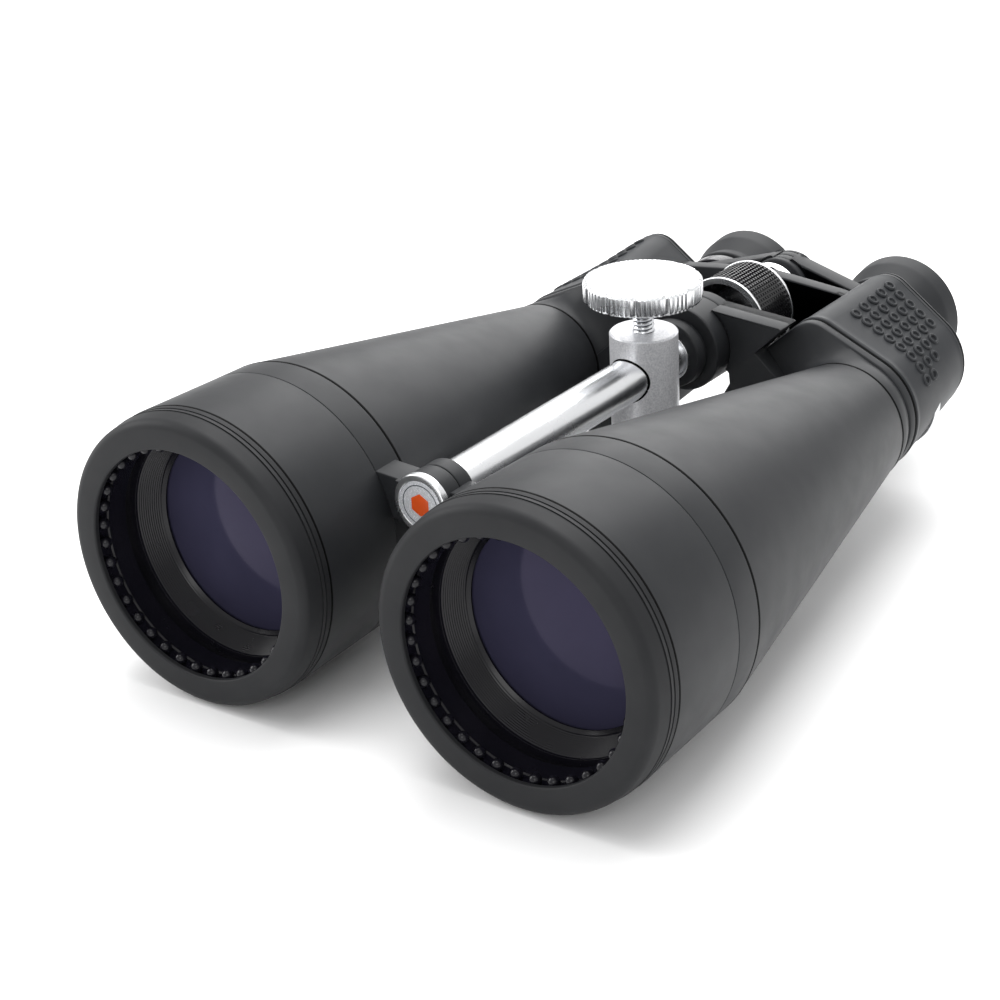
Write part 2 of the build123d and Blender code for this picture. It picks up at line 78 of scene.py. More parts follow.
# Prism housing: circles (x, z, radius) round which its outline runs
HOUSING_FRONT = [(64.5, 0.6, 23.7), (47, 22.7, 11), (31, 10, 10), (31, -14, 10), (47, -22, 11)]
HOUSING_REAR = [(62.8, 5, 21), (51.5, 26.2, 11), (31, 12, 10), (31, -10, 10), (46, -16, 10.5)]
COVER_START = 224.8
COVER_END = 271.0
REAR_END = 275.0
RIM_DEPTH = 4.0
DIMPLE_ROWS = (8, 8, 7, 6, 5)  # dimples in each row, front row first
DIMPLE_Y = 238.6
DIMPLE_ROW_PITCH = 6.4
DIMPLE_PITCH = 5.2
DIMPLE_RING_R = 1.75
DIMPLE_HALF_WIDTH = 0.62
DIMPLE_HEIGHT = 0.75
DIMPLE_STEPS = 28
DIMPLE_SECTION_STEPS = 12

# Hinge arms
ARM_START = 212.0
ARM_END = 224.0
REAR_ARM_START = 262.0
REAR_ARM_END = 268.0
BRIDGE_ARM_START = 281.0
BRIDGE_ARM_END = 289.0
HUB_R = 12.6
RING_R = 16.5
HUB_CLEARANCE = 0.4

# Rod, post, knob and focus wheel
ROD_R = 8.0
POST_Y = 179.5
POST_R = 12.6
KNOB_R = 21.7
KNOB_BOTTOM = 47.6
KNOB_TOP = 55.6
KNOB_TURN = 5.3  # degrees
SCALLOP_PITCH = 30.0
SCALLOP_HALF_WIDTH = 4.0
SCALLOP_DEPTH = 0.9
KNOB_GROOVES = (7.5, 12.5, 17.5, 22.5)
KNOB_GROOVE_HALF_WIDTH = 1.3
KNOB_GROOVE_DEPTH = 0.6
WHEEL_START = 236.0
WHEEL_END = 259.0
WHEEL_R = 17.5
RIM_WIDTH = 1.0
TEETH_AROUND = 62
TEETH_ROWS = 13
DIOPTER_RIBS = 48

# Stage. Angles are in degrees and the camera's distance is in metres
FLOOR_HALF = 4.0
WORLD_STRENGTH = 0.85
CAMERA_AZIMUTH = 36.7303
CAMERA_ELEVATION = 24.6171
CAMERA_ROLL = -2.8792
CAMERA_LENS = 84.904
CAMERA_SENSOR = 36.0
CAMERA_AIM = (14.0763, 68.2749, 15.3156)
CAMERA_DISTANCE = 0.776851


def place(x, y, z):
    """A point in the frame's metres."""
    return Vector((x, y - LENGTH / 2, z + HOOD_R)) * MM


# Outlines

def rounded(corners, steps=6):
    """Closed outline through corners (a, b, rounding), with each rounding as an arc."""
    points = []
    count = len(corners)
    for index, corner in enumerate(corners):
        here = Vector(corner[:2])
        radius = corner[2] if len(corner) > 2 else 0.0
        before = Vector(corners[index - 1][:2]) - here
        after = Vector(corners[(index + 1) % count][:2]) - here
        angle = before.angle(after)
        if radius <= 0 or angle > pi - 0.01:
            points.append(tuple(here))
            continue
        reach = min(radius / tan(angle / 2), 0.49 * before.length, 0.49 * after.length)
        radius = reach * tan(angle / 2)
        middle = here + (before.normalized() + after.normalized()).normalized() * radius / sin(angle / 2)
        first = here + before.normalized() * reach - middle
        last = here + after.normalized() * reach - middle
        start = atan2(first.y, first.x)
        sweep = (atan2(last.y, last.x) - start + pi) % (2 * pi) - pi
        for step in range(steps + 1):
            turn = start + sweep * step / steps
            points.append((middle.x + radius * cos(turn), middle.y + radius * sin(turn)))
    return points


def hull(circles, inset=0.0, steps=360):
    """Outline (x, z) round a set of circles, with the same number of points whatever the inset."""
    points = []
    for step in range(steps):
        turn = 2 * pi * step / steps
        x, z, radius = max(circles, key=lambda c: c[0] * cos(turn) + c[1] * sin(turn) + c[2])
        points.append((x + (radius - inset) * cos(turn), z + (radius - inset) * sin(turn)))
    return points


def housing_outline(station, inset=0.0, steps=360):
    """Outline of the prism housing, which tapers from its front to its rear."""
    share = min(max((station - ARM_END) / (COVER_END + 1 - ARM_END), 0.0), 1.0)
    circles = [tuple(a + (b - a) * share for a, b in zip(front, rear))
               for front, rear in zip(HOUSING_FRONT, HOUSING_REAR)]
    return hull(circles, inset, steps)


def arc(x, z, radius, start, end, steps=40):
    """Points on a circle between two angles in radians."""
    turns = [start + (end - start) * step / steps for step in range(steps + 1)]
    return [(x + radius * cos(turn), z + radius * sin(turn)) for turn in turns]


def arm_outline(hub_r, far, clearance=0.0):
    """Arm from the hinge to a far circle. A clearance leaves room for the other half's hub."""
    x, z, radius = far
    base = atan2(z - HINGE_Z, x)
    half = acos((hub_r - radius) / hypot(x, z - HINGE_Z))
    outer = arc(x, z, radius, base - half, base + half, 60)
    if clearance:
        return outer + arc(0, HINGE_Z, hub_r + clearance, base + half, base - half)
    return outer + arc(0, HINGE_Z, hub_r, base + half, base - half + 2 * pi, 60)


# Shapes: each is a list of points and a list of faces

def join(*shapes):
    """One shape from several."""
    points, faces = [], []
    for shape_points, shape_faces in shapes:
        offset = len(points)
        points += shape_points
        faces += [[index + offset for index in face] for face in shape_faces]
    return points, faces


def revolve(profile, centre, axis="y", segments=SEGMENTS, wave=None):
    """Turn a closed outline of (radius, station) about an axis.

    wave(angle, radius, station), if given, returns the radius to use at that place.
    """
    points, rows = [], []
    for radius, station in profile:
        row = []
        for step in range(segments if radius > 1e-6 else 1):
            turn = 2 * pi * step / segments
            r = wave(turn, radius, station) if wave else radius
            if axis == "y":
                points.append((centre[0] + r * cos(turn), station, centre[1] + r * sin(turn)))
            else:
                points.append((centre[0] + r * cos(turn), centre[1] + r * sin(turn), station))
            row.append(len(points) - 1)
        rows.append(row)
    faces = []
    for index, row in enumerate(rows):
        following = rows[(index + 1) % len(rows)]
        if len(row) == 1 and len(following) == 1:
            continue
        for step in range(segments):
            after = (step + 1) % segments
            if len(row) == 1:
                faces.append([row[0], following[after], following[step]])
            elif len(following) == 1:
                faces.append([row[step], row[after], following[0]])
            else:
                faces.append([row[step], row[after], following[after], following[step]])
    return points, faces


def turned(corners, x=0.0, z=0.0):
    """Turn an outline with rounded corners about an axis along y."""
    return revolve(rounded(corners), (x, z))


def loft(rings, closed=False):
    """Skin over rings of points, with flat ends, or joined end to end if closed."""
    count = len(rings[0])
    points = [point for ring_points in rings for point in ring_points]
    faces = []
    for index in range(len(rings) if closed else len(rings) - 1):
        first = index * count
        second = (index + 1) % len(rings) * count
        for step in range(count):
            after = (step + 1) % count
            faces.append([first + step, first + after, second + after, second + step])
    if not closed:
        faces.append(list(range(count)))
        faces.append(list(range((len(rings) - 1) * count, len(rings) * count)))
    return points, faces


def inset_outline(flat, amount):
    """Outline moved inwards. The outline runs anticlockwise."""
    moved = []
    for index, here in enumerate(flat):
        before, after = flat[index - 1], flat[(index + 1) % len(flat)]
        along = Vector((after[0] - before[0], after[1] - before[1]))
        inward = Vector((-along.y, along.x)).normalized() if along.length > 0 else Vector((0, 0))
        moved.append((here[0] + inward.x * amount, here[1] + inward.y * amount))
    return moved


def anticlockwise(flat):
    """The outline itself, or its reverse if it ran clockwise."""
    area = sum(a[0] * b[1] - b[0] * a[1] for a, b in zip(flat, flat[1:] + flat[:1]))
    return flat if area > 0 else flat[::-1]


def slab(flat, start, end, bevel=0.5):
    """Extrude an outline (x, z) between two stations, with rounded edges."""
    flat = anticlockwise(flat)
    levels = set()
    for step in range(4):
        turn = radians(30 * step)
        depth = bevel * (1 - sin(turn))
        amount = round(bevel * (1 - cos(turn)), 5)
        levels.add((round(start + depth, 5), amount))
        levels.add((round(end - depth, 5), amount))
    return loft([[(x, y, z) for x, z in inset_outline(flat, amount)] for y, amount in sorted(levels)])


def ball(x, y, z, radius, steps=16):
    """Small sphere with its poles along y."""
    profile = [(radius * sin(pi * i / steps), y - radius * cos(pi * i / steps)) for i in range(steps + 1)]
    profile[0] = (0.0, y - radius)
    profile[-1] = (0.0, y + radius)
    return revolve(profile, (x, z), segments=24)


def tube(path, radius, steps=10):
    """Closed tube of a small radius along a loop of points."""
    rings = []
    for index, here in enumerate(path):
        along = (path[(index + 1) % len(path)] - path[index - 1]).normalized()
        first = along.cross(Vector((0, 0, 1)) if abs(along.z) < 0.9 else Vector((0, 1, 0))).normalized()
        second = along.cross(first)
        rings.append([tuple(here + first * radius * cos(2 * pi * i / steps)
                            + second * radius * sin(2 * pi * i / steps)) for i in range(steps)])
    return loft(rings, closed=True)


def mirrored(shape, side):
    """The shape for one side: as it is for 1, flipped across x for -1."""
    points, faces = shape
    return [(side * x, y, z) for x, y, z in points], faces


# Materials

class Nodes:
    """Small helper to wire up one procedural material."""

    def __init__(self, name):
        self.material = bpy.data.materials.new(name)
        self.material.use_nodes = True
        self.tree = self.material.node_tree
        self.shader = self.tree.nodes["Principled BSDF"]
        self.coordinates = self.tree.nodes.new("ShaderNodeTexCoord").outputs["Object"]

    def add(self, kind, **values):
        node = self.tree.nodes.new(kind)
        for key, value in values.items():
            if key in node.inputs:
                node.inputs[key].default_value = value
            else:
                setattr(node, key, value)
        return node

    def link(self, output, target):
        self.tree.links.new(output, target)

    def noise(self, scale, detail=3.0, roughness=0.55, stretch=None):
        node = self.add("ShaderNodeTexNoise", Scale=scale, Detail=detail, Roughness=roughness)
        vector = self.coordinates
        if stretch:
            mapping = self.add("ShaderNodeMapping", Scale=stretch)
            self.link(vector, mapping.inputs["Vector"])
            vector = mapping.outputs["Vector"]
        self.link(vector, node.inputs["Vector"])
        return node.outputs["Fac"]

    def spread(self, value, low, high, start=0.3, end=0.7):
        """Map a noise value to a range of numbers."""
        node = self.add("ShaderNodeMapRange")
        node.inputs["From Min"].default_value = start
        node.inputs["From Max"].default_value = end
        node.inputs["To Min"].default_value = low
        node.inputs["To Max"].default_value = high
        self.link(value, node.inputs["Value"])
        return node.outputs["Result"]

    def ramp(self, value, dark, light, start=0.3, end=0.7):
        node = self.add("ShaderNodeValToRGB")
        node.color_ramp.elements[0].position = start
        node.color_ramp.elements[1].position = end
        node.color_ramp.elements[0].color = (*dark, 1.0)
        node.color_ramp.elements[1].color = (*light, 1.0)
        self.link(value, node.inputs["Fac"])
        return node.outputs["Color"]

    def bump(self, layers):
        """Chain of bumps from (height, strength, distance in metres)."""
        normal = None
        for height, strength, distance in layers:
            node = self.add("ShaderNodeBump", Strength=strength, Distance=distance)
            self.link(height, node.inputs["Height"])
            if normal:
                self.link(normal, node.inputs["Normal"])
            normal = node.outputs["Normal"]
        self.link(normal, self.shader.inputs["Normal"])

    def set(self, **values):
        for key, value in values.items():
            self.shader.inputs[key.replace("_", " ")].default_value = value


def coating(name, dark, light, rough, grain=2600.0, depth=0.00002, specular=0.5):
    """Painted, moulded or rubber surface: fine grain, slow blotches of colour and gloss."""
    nodes = Nodes(name)
    blotch = nodes.noise(38.0, 4.0)
    fine = nodes.noise(grain, 2.0, 0.6)
    nodes.link(nodes.ramp(blotch, dark, light), nodes.shader.inputs["Base Color"])
    nodes.link(nodes.spread(nodes.noise(90.0, 5.0), rough[0], rough[1]), nodes.shader.inputs["Roughness"])
    nodes.bump([(fine, 0.35, depth)])
    nodes.set(Specular_IOR_Level=specular)
    return nodes.material


def metal(name, dark, light, rough, grain=3000.0, depth=0.00001, stretch=None, strength=0.3,
          metallic=1.0):
    """Bare metal: grain, or turning lines where stretch squeezes the noise."""
    nodes = Nodes(name)
    fine = nodes.noise(grain, 3.0, 0.6, stretch)
    smudge = nodes.noise(55.0, 4.0)
    nodes.link(nodes.ramp(fine, dark, light, 0.25, 0.75), nodes.shader.inputs["Base Color"])
    nodes.link(nodes.spread(smudge, rough[0], rough[1]), nodes.shader.inputs["Roughness"])
    nodes.bump([(fine, strength, depth)])
    nodes.set(Metallic=metallic)
    return nodes.material


def lens_glass(name, colour, tint):
    """Glass in one colour with faint smudges. The tint colours what it mirrors."""
    nodes = Nodes(name)
    smudge = nodes.noise(24.0, 3.0)
    shade = 0.82
    dark = tuple(shade * part for part in colour)
    nodes.link(nodes.ramp(smudge, dark, colour), nodes.shader.inputs["Base Color"])
    nodes.link(nodes.spread(smudge, 0.08, 0.12), nodes.shader.inputs["Roughness"])
    nodes.set(Specular_IOR_Level=0.12, Specular_Tint=(*tint, 1.0))
    return nodes.material


def badge_face():
    """Pale enamelled disc."""
    nodes = Nodes("badge_enamel")
    grain = nodes.noise(4200.0, 2.0)
    nodes.link(nodes.ramp(grain, (0.72, 0.74, 0.78), (0.86, 0.87, 0.9)), nodes.shader.inputs["Base Color"])
    nodes.link(nodes.spread(grain, 0.2, 0.3), nodes.shader.inputs["Roughness"])
    nodes.set(Metallic=0.4, Coat_Weight=0.5)
    return nodes.material


def make_materials():
    """All looks by name. Those named after a material slot dress the pieces in that slot."""
    return {
        "black_paint": coating("black_paint", (0.016, 0.017, 0.019), (0.022, 0.023, 0.025),
                               (0.42, 0.48), 3200.0, 0.00002, 0.2),
        "hood_rubber": coating("hood_rubber", (0.013, 0.0135, 0.015), (0.018, 0.0185, 0.020),
                               (0.50, 0.56), 3600.0, 0.00003, 0.18),
        "black_anodised": coating("black_anodised", (0.004, 0.004, 0.006), (0.008, 0.0075, 0.011),
                                  (0.20, 0.28), 2200.0, 0.000006, 0.3),
        "coated_glass": lens_glass("coated_glass", (0.040, 0.038, 0.070), (0.75, 0.6, 1.0)),
        "prism_glass": lens_glass("prism_glass", (0.3, 0.36, 0.34), (0.9, 1.0, 0.95)),
        "grip_rubber": coating("grip_rubber", (0.017, 0.0185, 0.021), (0.023, 0.0245, 0.027),
                               (0.44, 0.50), 3000.0, 0.00003, 0.2),
        "eyecup_rubber": coating("eyecup_rubber", (0.018, 0.019, 0.021), (0.025, 0.026, 0.028),
                                 (0.50, 0.58), 2600.0, 0.00003, 0.2),
        "wheel_rubber": coating("wheel_rubber", (0.008, 0.008, 0.009), (0.014, 0.014, 0.016),
                                (0.22, 0.30), 3000.0, 0.00001, 0.55),
        "bright_aluminium": metal("bright_aluminium", (0.86, 0.87, 0.89), (0.95, 0.96, 0.97),
                                  (0.22, 0.30), 5200.0, 0.000006),
        "blasted_aluminium": metal("blasted_aluminium", (0.62, 0.63, 0.66), (0.98, 0.98, 1.0),
                                   (0.34, 0.44), 1500.0, 0.00004, strength=0.6, metallic=0.45),
        "bare_aluminium": metal("bare_aluminium", (0.55, 0.56, 0.57), (0.72, 0.73, 0.74),
                                (0.3, 0.4), 900.0, 0.00001, (1.0, 0.05, 1.0)),
        "steel": metal("steel", (0.78, 0.79, 0.81), (0.92, 0.93, 0.95), (0.16, 0.26), 2400.0,
                       0.000005, (1.0, 1.0, 6.0)),
        "black_steel": coating("black_steel", (0.010, 0.010, 0.011), (0.02, 0.02, 0.022),
                               (0.3, 0.4), 2400.0, 0.00001, 0.4),
        "badge_enamel": badge_face(),
        "nylon": coating("nylon", (0.72, 0.71, 0.66), (0.8, 0.79, 0.74), (0.45, 0.6)),
        "orange_enamel": coating("orange_enamel", (0.62, 0.075, 0.012), (0.72, 0.11, 0.02),
                                 (0.2, 0.3), 1200.0, 0.000005),
        "badge_line": coating("badge_line", (0.02, 0.03, 0.04), (0.04, 0.05, 0.06), (0.25, 0.35)),
        "seam": coating("seam", (0.001, 0.001, 0.001), (0.002, 0.002, 0.002), (0.6, 0.7), specular=0.05),
    }


MATERIALS = make_materials()
SLOT_OF = {part["node"]: part["material_slot"] for part in frame["record"]["subparts"]}


def show(name, shape, body, nodes=(), slot=None, look=None, sharp=32.0):
    """Make one visible piece that rides on a body and stands for some CAD nodes."""
    points, faces = shape
    mesh = bpy.data.meshes.new(name)
    mesh.from_pydata([place(*point) for point in points], [], faces)
    work = bmesh.new()
    work.from_mesh(mesh)
    bmesh.ops.remove_doubles(work, verts=work.verts, dist=1e-7)
    bmesh.ops.recalc_face_normals(work, faces=work.faces)
    for edge in work.edges:
        if len(edge.link_faces) == 2:
            edge.smooth = edge.calc_face_angle(0.0) < radians(sharp)
    for face in work.faces:
        face.smooth = True
    work.to_mesh(mesh)
    work.free()
    piece = bpy.data.objects.new(name, mesh)
    bpy.context.scene.collection.objects.link(piece)
    slot = slot or SLOT_OF[nodes[0]]
    mesh.materials.append(MATERIALS[look or slot])
    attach(piece, body)
    if nodes:
        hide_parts(*nodes)
    return piece


def paint_cad_nodes():
    """CAD pieces that stay visible get the same procedural materials."""
    for name, piece in frame["nodes"].items():
        piece.data.materials.clear()
        piece.data.materials.append(MATERIALS[SLOT_OF[name]])


# Objective end

def seam(name, side, station, radius, width=0.7):
    """Black line where two pieces of a barrel meet."""
    inner = radius - SEAM_DEPTH
    start = station - width / 2
    end = station + width / 2
    ring = turned([(inner, start), (radius, start), (radius, end), (inner, end)], BARREL_X)
    show(name, mirrored(ring, side), name.split("_")[0] + "_barrel", slot="black_paint", look="seam")


def objective_end(name, side):
    """Hood, sleeve, beads, lens cell, lens and cone of one barrel."""
    body = name + "_barrel"
    seam(name + "_hood_seam", side, HOOD_END, HOOD_R + 0.02)
    seam(name + "_band_seam", side, BAND_END + 0.3, BAND_R)
    seam(name + "_cone_seam", side, CONE_END, CONE_END_R + 0.12, 0.9)

    def add(part, corners=None, shape=None):
        made = shape or turned(corners, BARREL_X)
        show(f"{name}_{part}_look", mirrored(made, side), body, [f"{name}_{part}"])

    hood = [(41.0, 1.9), (41.0, 0.0, 0.8), (HOOD_R - 1.3, 0.0, 3.4), (HOOD_R - 0.35, 7.4, 1.0)]
    for station in (7.6, 9.5):
        hood += [(HOOD_R - 0.25, station), (HOOD_R - 1.0, station + 0.1),
                 (HOOD_R - 1.0, station + GROOVE_WIDTH), (HOOD_R - 0.15, station + GROOVE_WIDTH + 0.1)]
    hood += [(HOOD_R, HOOD_END - 0.35, 0.3), (HOOD_R - 0.9, HOOD_END), (46.0, HOOD_END), (46.0, 1.9)]
    add("objective_hood", hood)
    add("objective_sleeve", [
        (46.0, HOOD_END), (HOOD_R - 0.9, HOOD_END), (HOOD_R, HOOD_END + 0.4, 0.3),
        (SLEEVE_R, BAND_START - 0.1, 0.25), (SLEEVE_R - 0.6, BAND_START), (46.0, BAND_START),
    ])
    band = [(42.7, 2.0), (46.0, 2.0), (46.0, 15.7), (41.5, 15.7, 0.3), (41.7, 14.6, 0.6),
            (42.3, 8.2, 0.3), (42.7, 7.6)]
    beads = []
    for index in range(BEAD_COUNT):
        turn = radians(360 / BEAD_COUNT * index + BEAD_TURN)
        beads.append(ball(BARREL_X + BEAD_CIRCLE_R * cos(turn), BEAD_Y, BEAD_CIRCLE_R * sin(turn), BEAD_R))
    add("bead_ring", shape=join(turned(band, BARREL_X), *beads))
    add("retaining_ring", [(44.2, 15.7), (46.0, 15.7), (46.0, 20.1), (44.2, 20.1)])
    cell = [(46.0, 20.1), (46.0, 46.0), (40.0, 46.0), (40.0, 29.8), (35.7, 29.8), (35.7, 29.4, 0.1),
            (36.9, 28.4, 0.2)]
    for ridge in range(CELL_RIDGES):
        share = ridge / CELL_RIDGES
        radius = 37.1 + 4.1 * share
        station = 28.1 - 7.4 * share
        cell += [(radius - 0.05, station), (radius + 0.42, station - 0.30)]
    cell += [(41.3, 20.6, 0.2), (41.3, 20.1, 0.1)]
    add("objective_cell", cell)
    add("crown_lens", shape=lens(40.0, 31.5, 36.5, -4.2, 3.4, BARREL_X, 0.0))
    add("barrel_cone", [
        (45.4, 50.0), (47.4, 50.0), (47.4, BAND_END), (BAND_R - 1.1, BAND_END),
        (BAND_R - 1.1, BAND_END + 0.6), (BAND_R - 0.1, BAND_END + 0.9, 0.25),
        (CONE_END_R, CONE_END - 0.2, 0.2), (CONE_END_R - 0.7, CONE_END), (21.4, CONE_END), (45.4, 68.5),
    ])


def lens(radius, front, rear, front_sag, rear_sag, x, z, steps=24):
    """Closed lens between two edge stations. A sag moves the middle of a face along y."""
    def face(edge, sag):
        shares = [sin(step / steps * pi / 2) for step in range(steps + 1)]
        return [(radius * share, edge + sag * (1 - share ** 2)) for share in shares]

    profile = face(front, front_sag) + face(rear, rear_sag)[::-1]
    return revolve(profile, (x, z))


def front_bracket(name, side):
    """Band round the barrel with a flat-topped arm to a knuckle on the rod.

    The left knuckle sits in front of the right one.
    """
    near, far = (53.8, 60.2) if side > 0 else (46.4, 53.5)
    arm_end = BAND_END - 1.5
    band = turned([
        (47.4, BAND_START), (SLEEVE_R - 0.6, BAND_START), (SLEEVE_R, BAND_START + 0.3, 0.25),
        (BAND_R, BAND_END - 0.2, 0.2), (BAND_R - 0.7, BAND_END), (47.4, BAND_END),
    ], BARREL_X)
    knuckle = turned([(0, near), (10.4, near, 0.5), (10.4, far, 0.5), (0, far)], 0, HINGE_Z)
    arm = slab(rounded([(9.0, 24.9, 0.6), (31.5, 26.6, 0.6), (31.5, 8.0, 1.0), (9.0, 10.8, 1.0)]),
               BAND_START, arm_end, 0.5)
    web = slab(rounded([(2.0, 24.4, 0.6), (12.0, 25.1, 0.0), (12.0, 10.4, 0.0), (2.0, 11.4, 1.0)]),
               near, min(far, arm_end), 0.4)
    show(f"{name}_front_bracket_look", mirrored(join(band, knuckle, arm, web), side), name + "_barrel",
         [f"{name}_front_bracket"])


# Prism housing

def ray_reach(flat, centre, turn):
    """Distance from centre to an outline in one direction."""
    dx, dz = cos(turn), sin(turn)
    best = 0.0
    for (ax, az), (bx, bz) in zip(flat, flat[1:] + flat[:1]):
        ex, ez = bx - ax, bz - az
        cross = dx * ez - dz * ex
        if abs(cross) < 1e-9:
            continue
        along = ((ax - centre[0]) * ez - (az - centre[1]) * ex) / cross
        share = ((ax - centre[0]) * dz - (az - centre[1]) * dx) / cross
        if along > 0 and -1e-9 <= share <= 1 + 1e-9:
            best = max(best, along)
    return best


def collar():
    """Shoulder that flares from the round cone end to a rim with the housing's outline."""
    steps = 240
    turns = [2 * pi * step / steps for step in range(steps)]
    outline = housing_outline(ARM_END, 0.4)
    reaches = [ray_reach(outline, (BARREL_X, 0.0), turn) for turn in turns]

    def ring(station, ease, inset=0.0):
        points = []
        for turn, reach in zip(turns, reaches):
            radius = CONE_END_R + (reach - inset - CONE_END_R) * ease
            points.append((BARREL_X + radius * cos(turn), station, radius * sin(turn)))
        return points

    rings = [ring(CONE_END, 0.0)]
    levels = 14
    flare = 2.2
    flare_start = CONE_END + 0.3
    rim_start = ARM_END - RIM_DEPTH
    for level in range(levels + 1):
        share = level / levels
        rings.append(ring(flare_start + (rim_start - CONE_END - 0.3) * share, share ** flare, 0.9))
    for inset, station in ((0.45, rim_start + 0.15), (0.15, rim_start + 0.4), (0.0, rim_start + 0.9),
                           (0.0, ARM_END - 0.5), (0.3, ARM_END - 0.15), (2.2, ARM_END - 0.1),
                           (2.2, ARM_END + 1.0)):
        rings.append(ring(station, 1.0, inset))
    return loft(rings)


def front_arm(own):
    """Plate from the large hinge ring to the collar, hollowed round the other half's ring."""
    top = [(9.0, 34.3), (37.6, 32.1), (38.4, 31.6), (38.4, 31.0)]
    under = [(27.5, 20.5), (45, 5), (50, -12), (30, -20), (20, -14), (13.4, 0.7), (16.6, 6.5), (16.2, 10.5)]
    hollow = arc(0, HINGE_Z, RING_R + HUB_CLEARANCE, radians(-29), radians(57))
    hub = turned([
        (0, own[0]), (RING_R - 0.2, own[0], 0.8), (RING_R, own[0] + 1.0, 0.4), (RING_R, own[1], 0.4),
        (0, own[1]),
    ], 0, HINGE_Z)
    plate = slab(top + under + hollow, ARM_START, ARM_END - 0.2, 0.4)
    start = max(own[0], ARM_START) + 0.2
    end = min(own[1], ARM_END) - 0.4
    return join(hub, plate, slab(top + under + [(0.0, HINGE_Z)], start, end, 0.2))


def rear_arm(own):
    """Arm from a small hinge hub to the housing, behind the focus wheel."""
    far = (33, 14, 15.5)
    return join(slab(arm_outline(HUB_R, far), own[0], own[1], 0.5),
                slab(arm_outline(HUB_R, far, HUB_CLEARANCE), REAR_ARM_START, REAR_ARM_END, 0.5))


def housing(name, side):
    """Casting with its shoulder, two hinge arms and the seam in front of the rubber cover."""
    if side > 0:
        ring_slot = (218.35, ARM_END)
        rear_slot = (REAR_ARM_START, 264.85)
    else:
        ring_slot = (204.0, 218.05)
        rear_slot = (265.15, REAR_ARM_END)
    levels = 12
    stations = [ARM_END + (COVER_END - ARM_END) * level / levels for level in range(levels + 1)]
    inner = loft([[(x, y, z) for x, z in housing_outline(y, 2.0)] for y in stations])
    shape = join(collar(), inner, front_arm(ring_slot), rear_arm(rear_slot))
    show(f"{name}_housing_look", mirrored(shape, side), name + "_barrel", [f"{name}_prism_housing"])
    line = slab(housing_outline(ARM_END, 0.45), ARM_END - 0.15, COVER_START + 0.1, 0.02)
    show(f"{name}_cover_seam", mirrored(line, side), name + "_barrel", slot="black_paint", look="seam")


def along_outline(flat):
    """Length along an outline from its first point to each point, and all the way round."""
    total = 0.0
    lengths = [0.0]
    for here, after in zip(flat, flat[1:] + flat[:1]):
        total += hypot(after[0] - here[0], after[1] - here[1])
        lengths.append(total)
    return lengths


def dimple(flat, lengths, distance, station):
    """Raised round rim on the cover, at a distance along its outline."""
    index = max(i for i, length in enumerate(lengths[:-1]) if length <= distance)
    here, after = flat[index], flat[(index + 1) % len(flat)]
    share = (distance - lengths[index]) / max(lengths[index + 1] - lengths[index], 1e-9)
    x, z = here[0] + share * (after[0] - here[0]), here[1] + share * (after[1] - here[1])
    along = Vector((after[0] - here[0], 0, after[1] - here[1])).normalized()
    out = Vector((along.z, 0, -along.x))
    centre = Vector((x, station, z))
    rings = []
    section = [2 * pi * step / DIMPLE_SECTION_STEPS for step in range(DIMPLE_SECTION_STEPS)]
    for step in range(DIMPLE_STEPS):
        turn = 2 * pi * step / DIMPLE_STEPS
        radial = along * cos(turn) + Vector((0, 1, 0)) * sin(turn)
        middle = centre + radial * DIMPLE_RING_R
        rings.append([tuple(middle + radial * DIMPLE_HALF_WIDTH * cos(a) + out * DIMPLE_HEIGHT * sin(a))
                      for a in section])
    return loft(rings, closed=True)


def grip_cover(name, side):
    """Rubber skin with rolled lips and rows of raised dimples on its sloping outer face."""
    wall = 1.6
    skin = 0.16
    levels = 24
    length = COVER_END - COVER_START - 2.6
    profile = [(COVER_START, wall), (COVER_START, 0.7), (COVER_START + 0.2, 0.25), (COVER_START + 0.6, 0.0),
               (COVER_START + 1.3, 0.0)]
    profile += [(COVER_START + 1.6 + length * level / levels, skin) for level in range(levels + 1)]
    profile += [(COVER_END - 0.6, 0.1), (COVER_END - 0.2, 0.4), (COVER_END, wall)]
    rings = [[(x, y, z) for x, z in housing_outline(y, inset)] for y, inset in profile]
    dimples = []
    for row, count in enumerate(DIMPLE_ROWS):
        station = DIMPLE_Y + DIMPLE_ROW_PITCH * row
        flat = housing_outline(station, skin, 1440)
        lengths = along_outline(flat)
        first = 47.8 - 4.4 * (station - ARM_END) / (COVER_END - ARM_END)
        for number in range(count):
            dimples.append(dimple(flat, lengths, first - DIMPLE_PITCH * number, station))
    shape = join(loft(rings, closed=True), *dimples)
    show(f"{name}_grip_cover_look", mirrored(shape, side), name + "_barrel",
         [f"{name}_grip_cover"])


def rear_cover(name, side):
    """Closing plate with a groove round its edge, and the eyepiece guide."""
    profile = [(COVER_END, 12.0), (COVER_END, 0.9), (COVER_END + 0.2, 0.5), (COVER_END + 1.4, 0.5),
               (COVER_END + 1.6, 1.1), (COVER_END + 2.3, 1.1), (COVER_END + 2.5, 0.6),
               (REAR_END - 0.9, 0.7), (REAR_END - 0.2, 1.2), (REAR_END, 2.2), (REAR_END, 12.0)]
    plate = loft([[(x, y, z) for x, z in hull(HOUSING_REAR, inset)] for y, inset in profile])
    guide_end = REAR_END + 0.5
    guide = turned([
        (9.65, REAR_END - 1), (13.0, REAR_END - 1), (13.0, guide_end, 0.4), (9.65, guide_end),
    ], EYE_X, EYE_Z)
    show(f"{name}_rear_cover_look", mirrored(join(plate, guide), side), name + "_barrel",
         [f"{name}_rear_cover"])


# Eyepieces

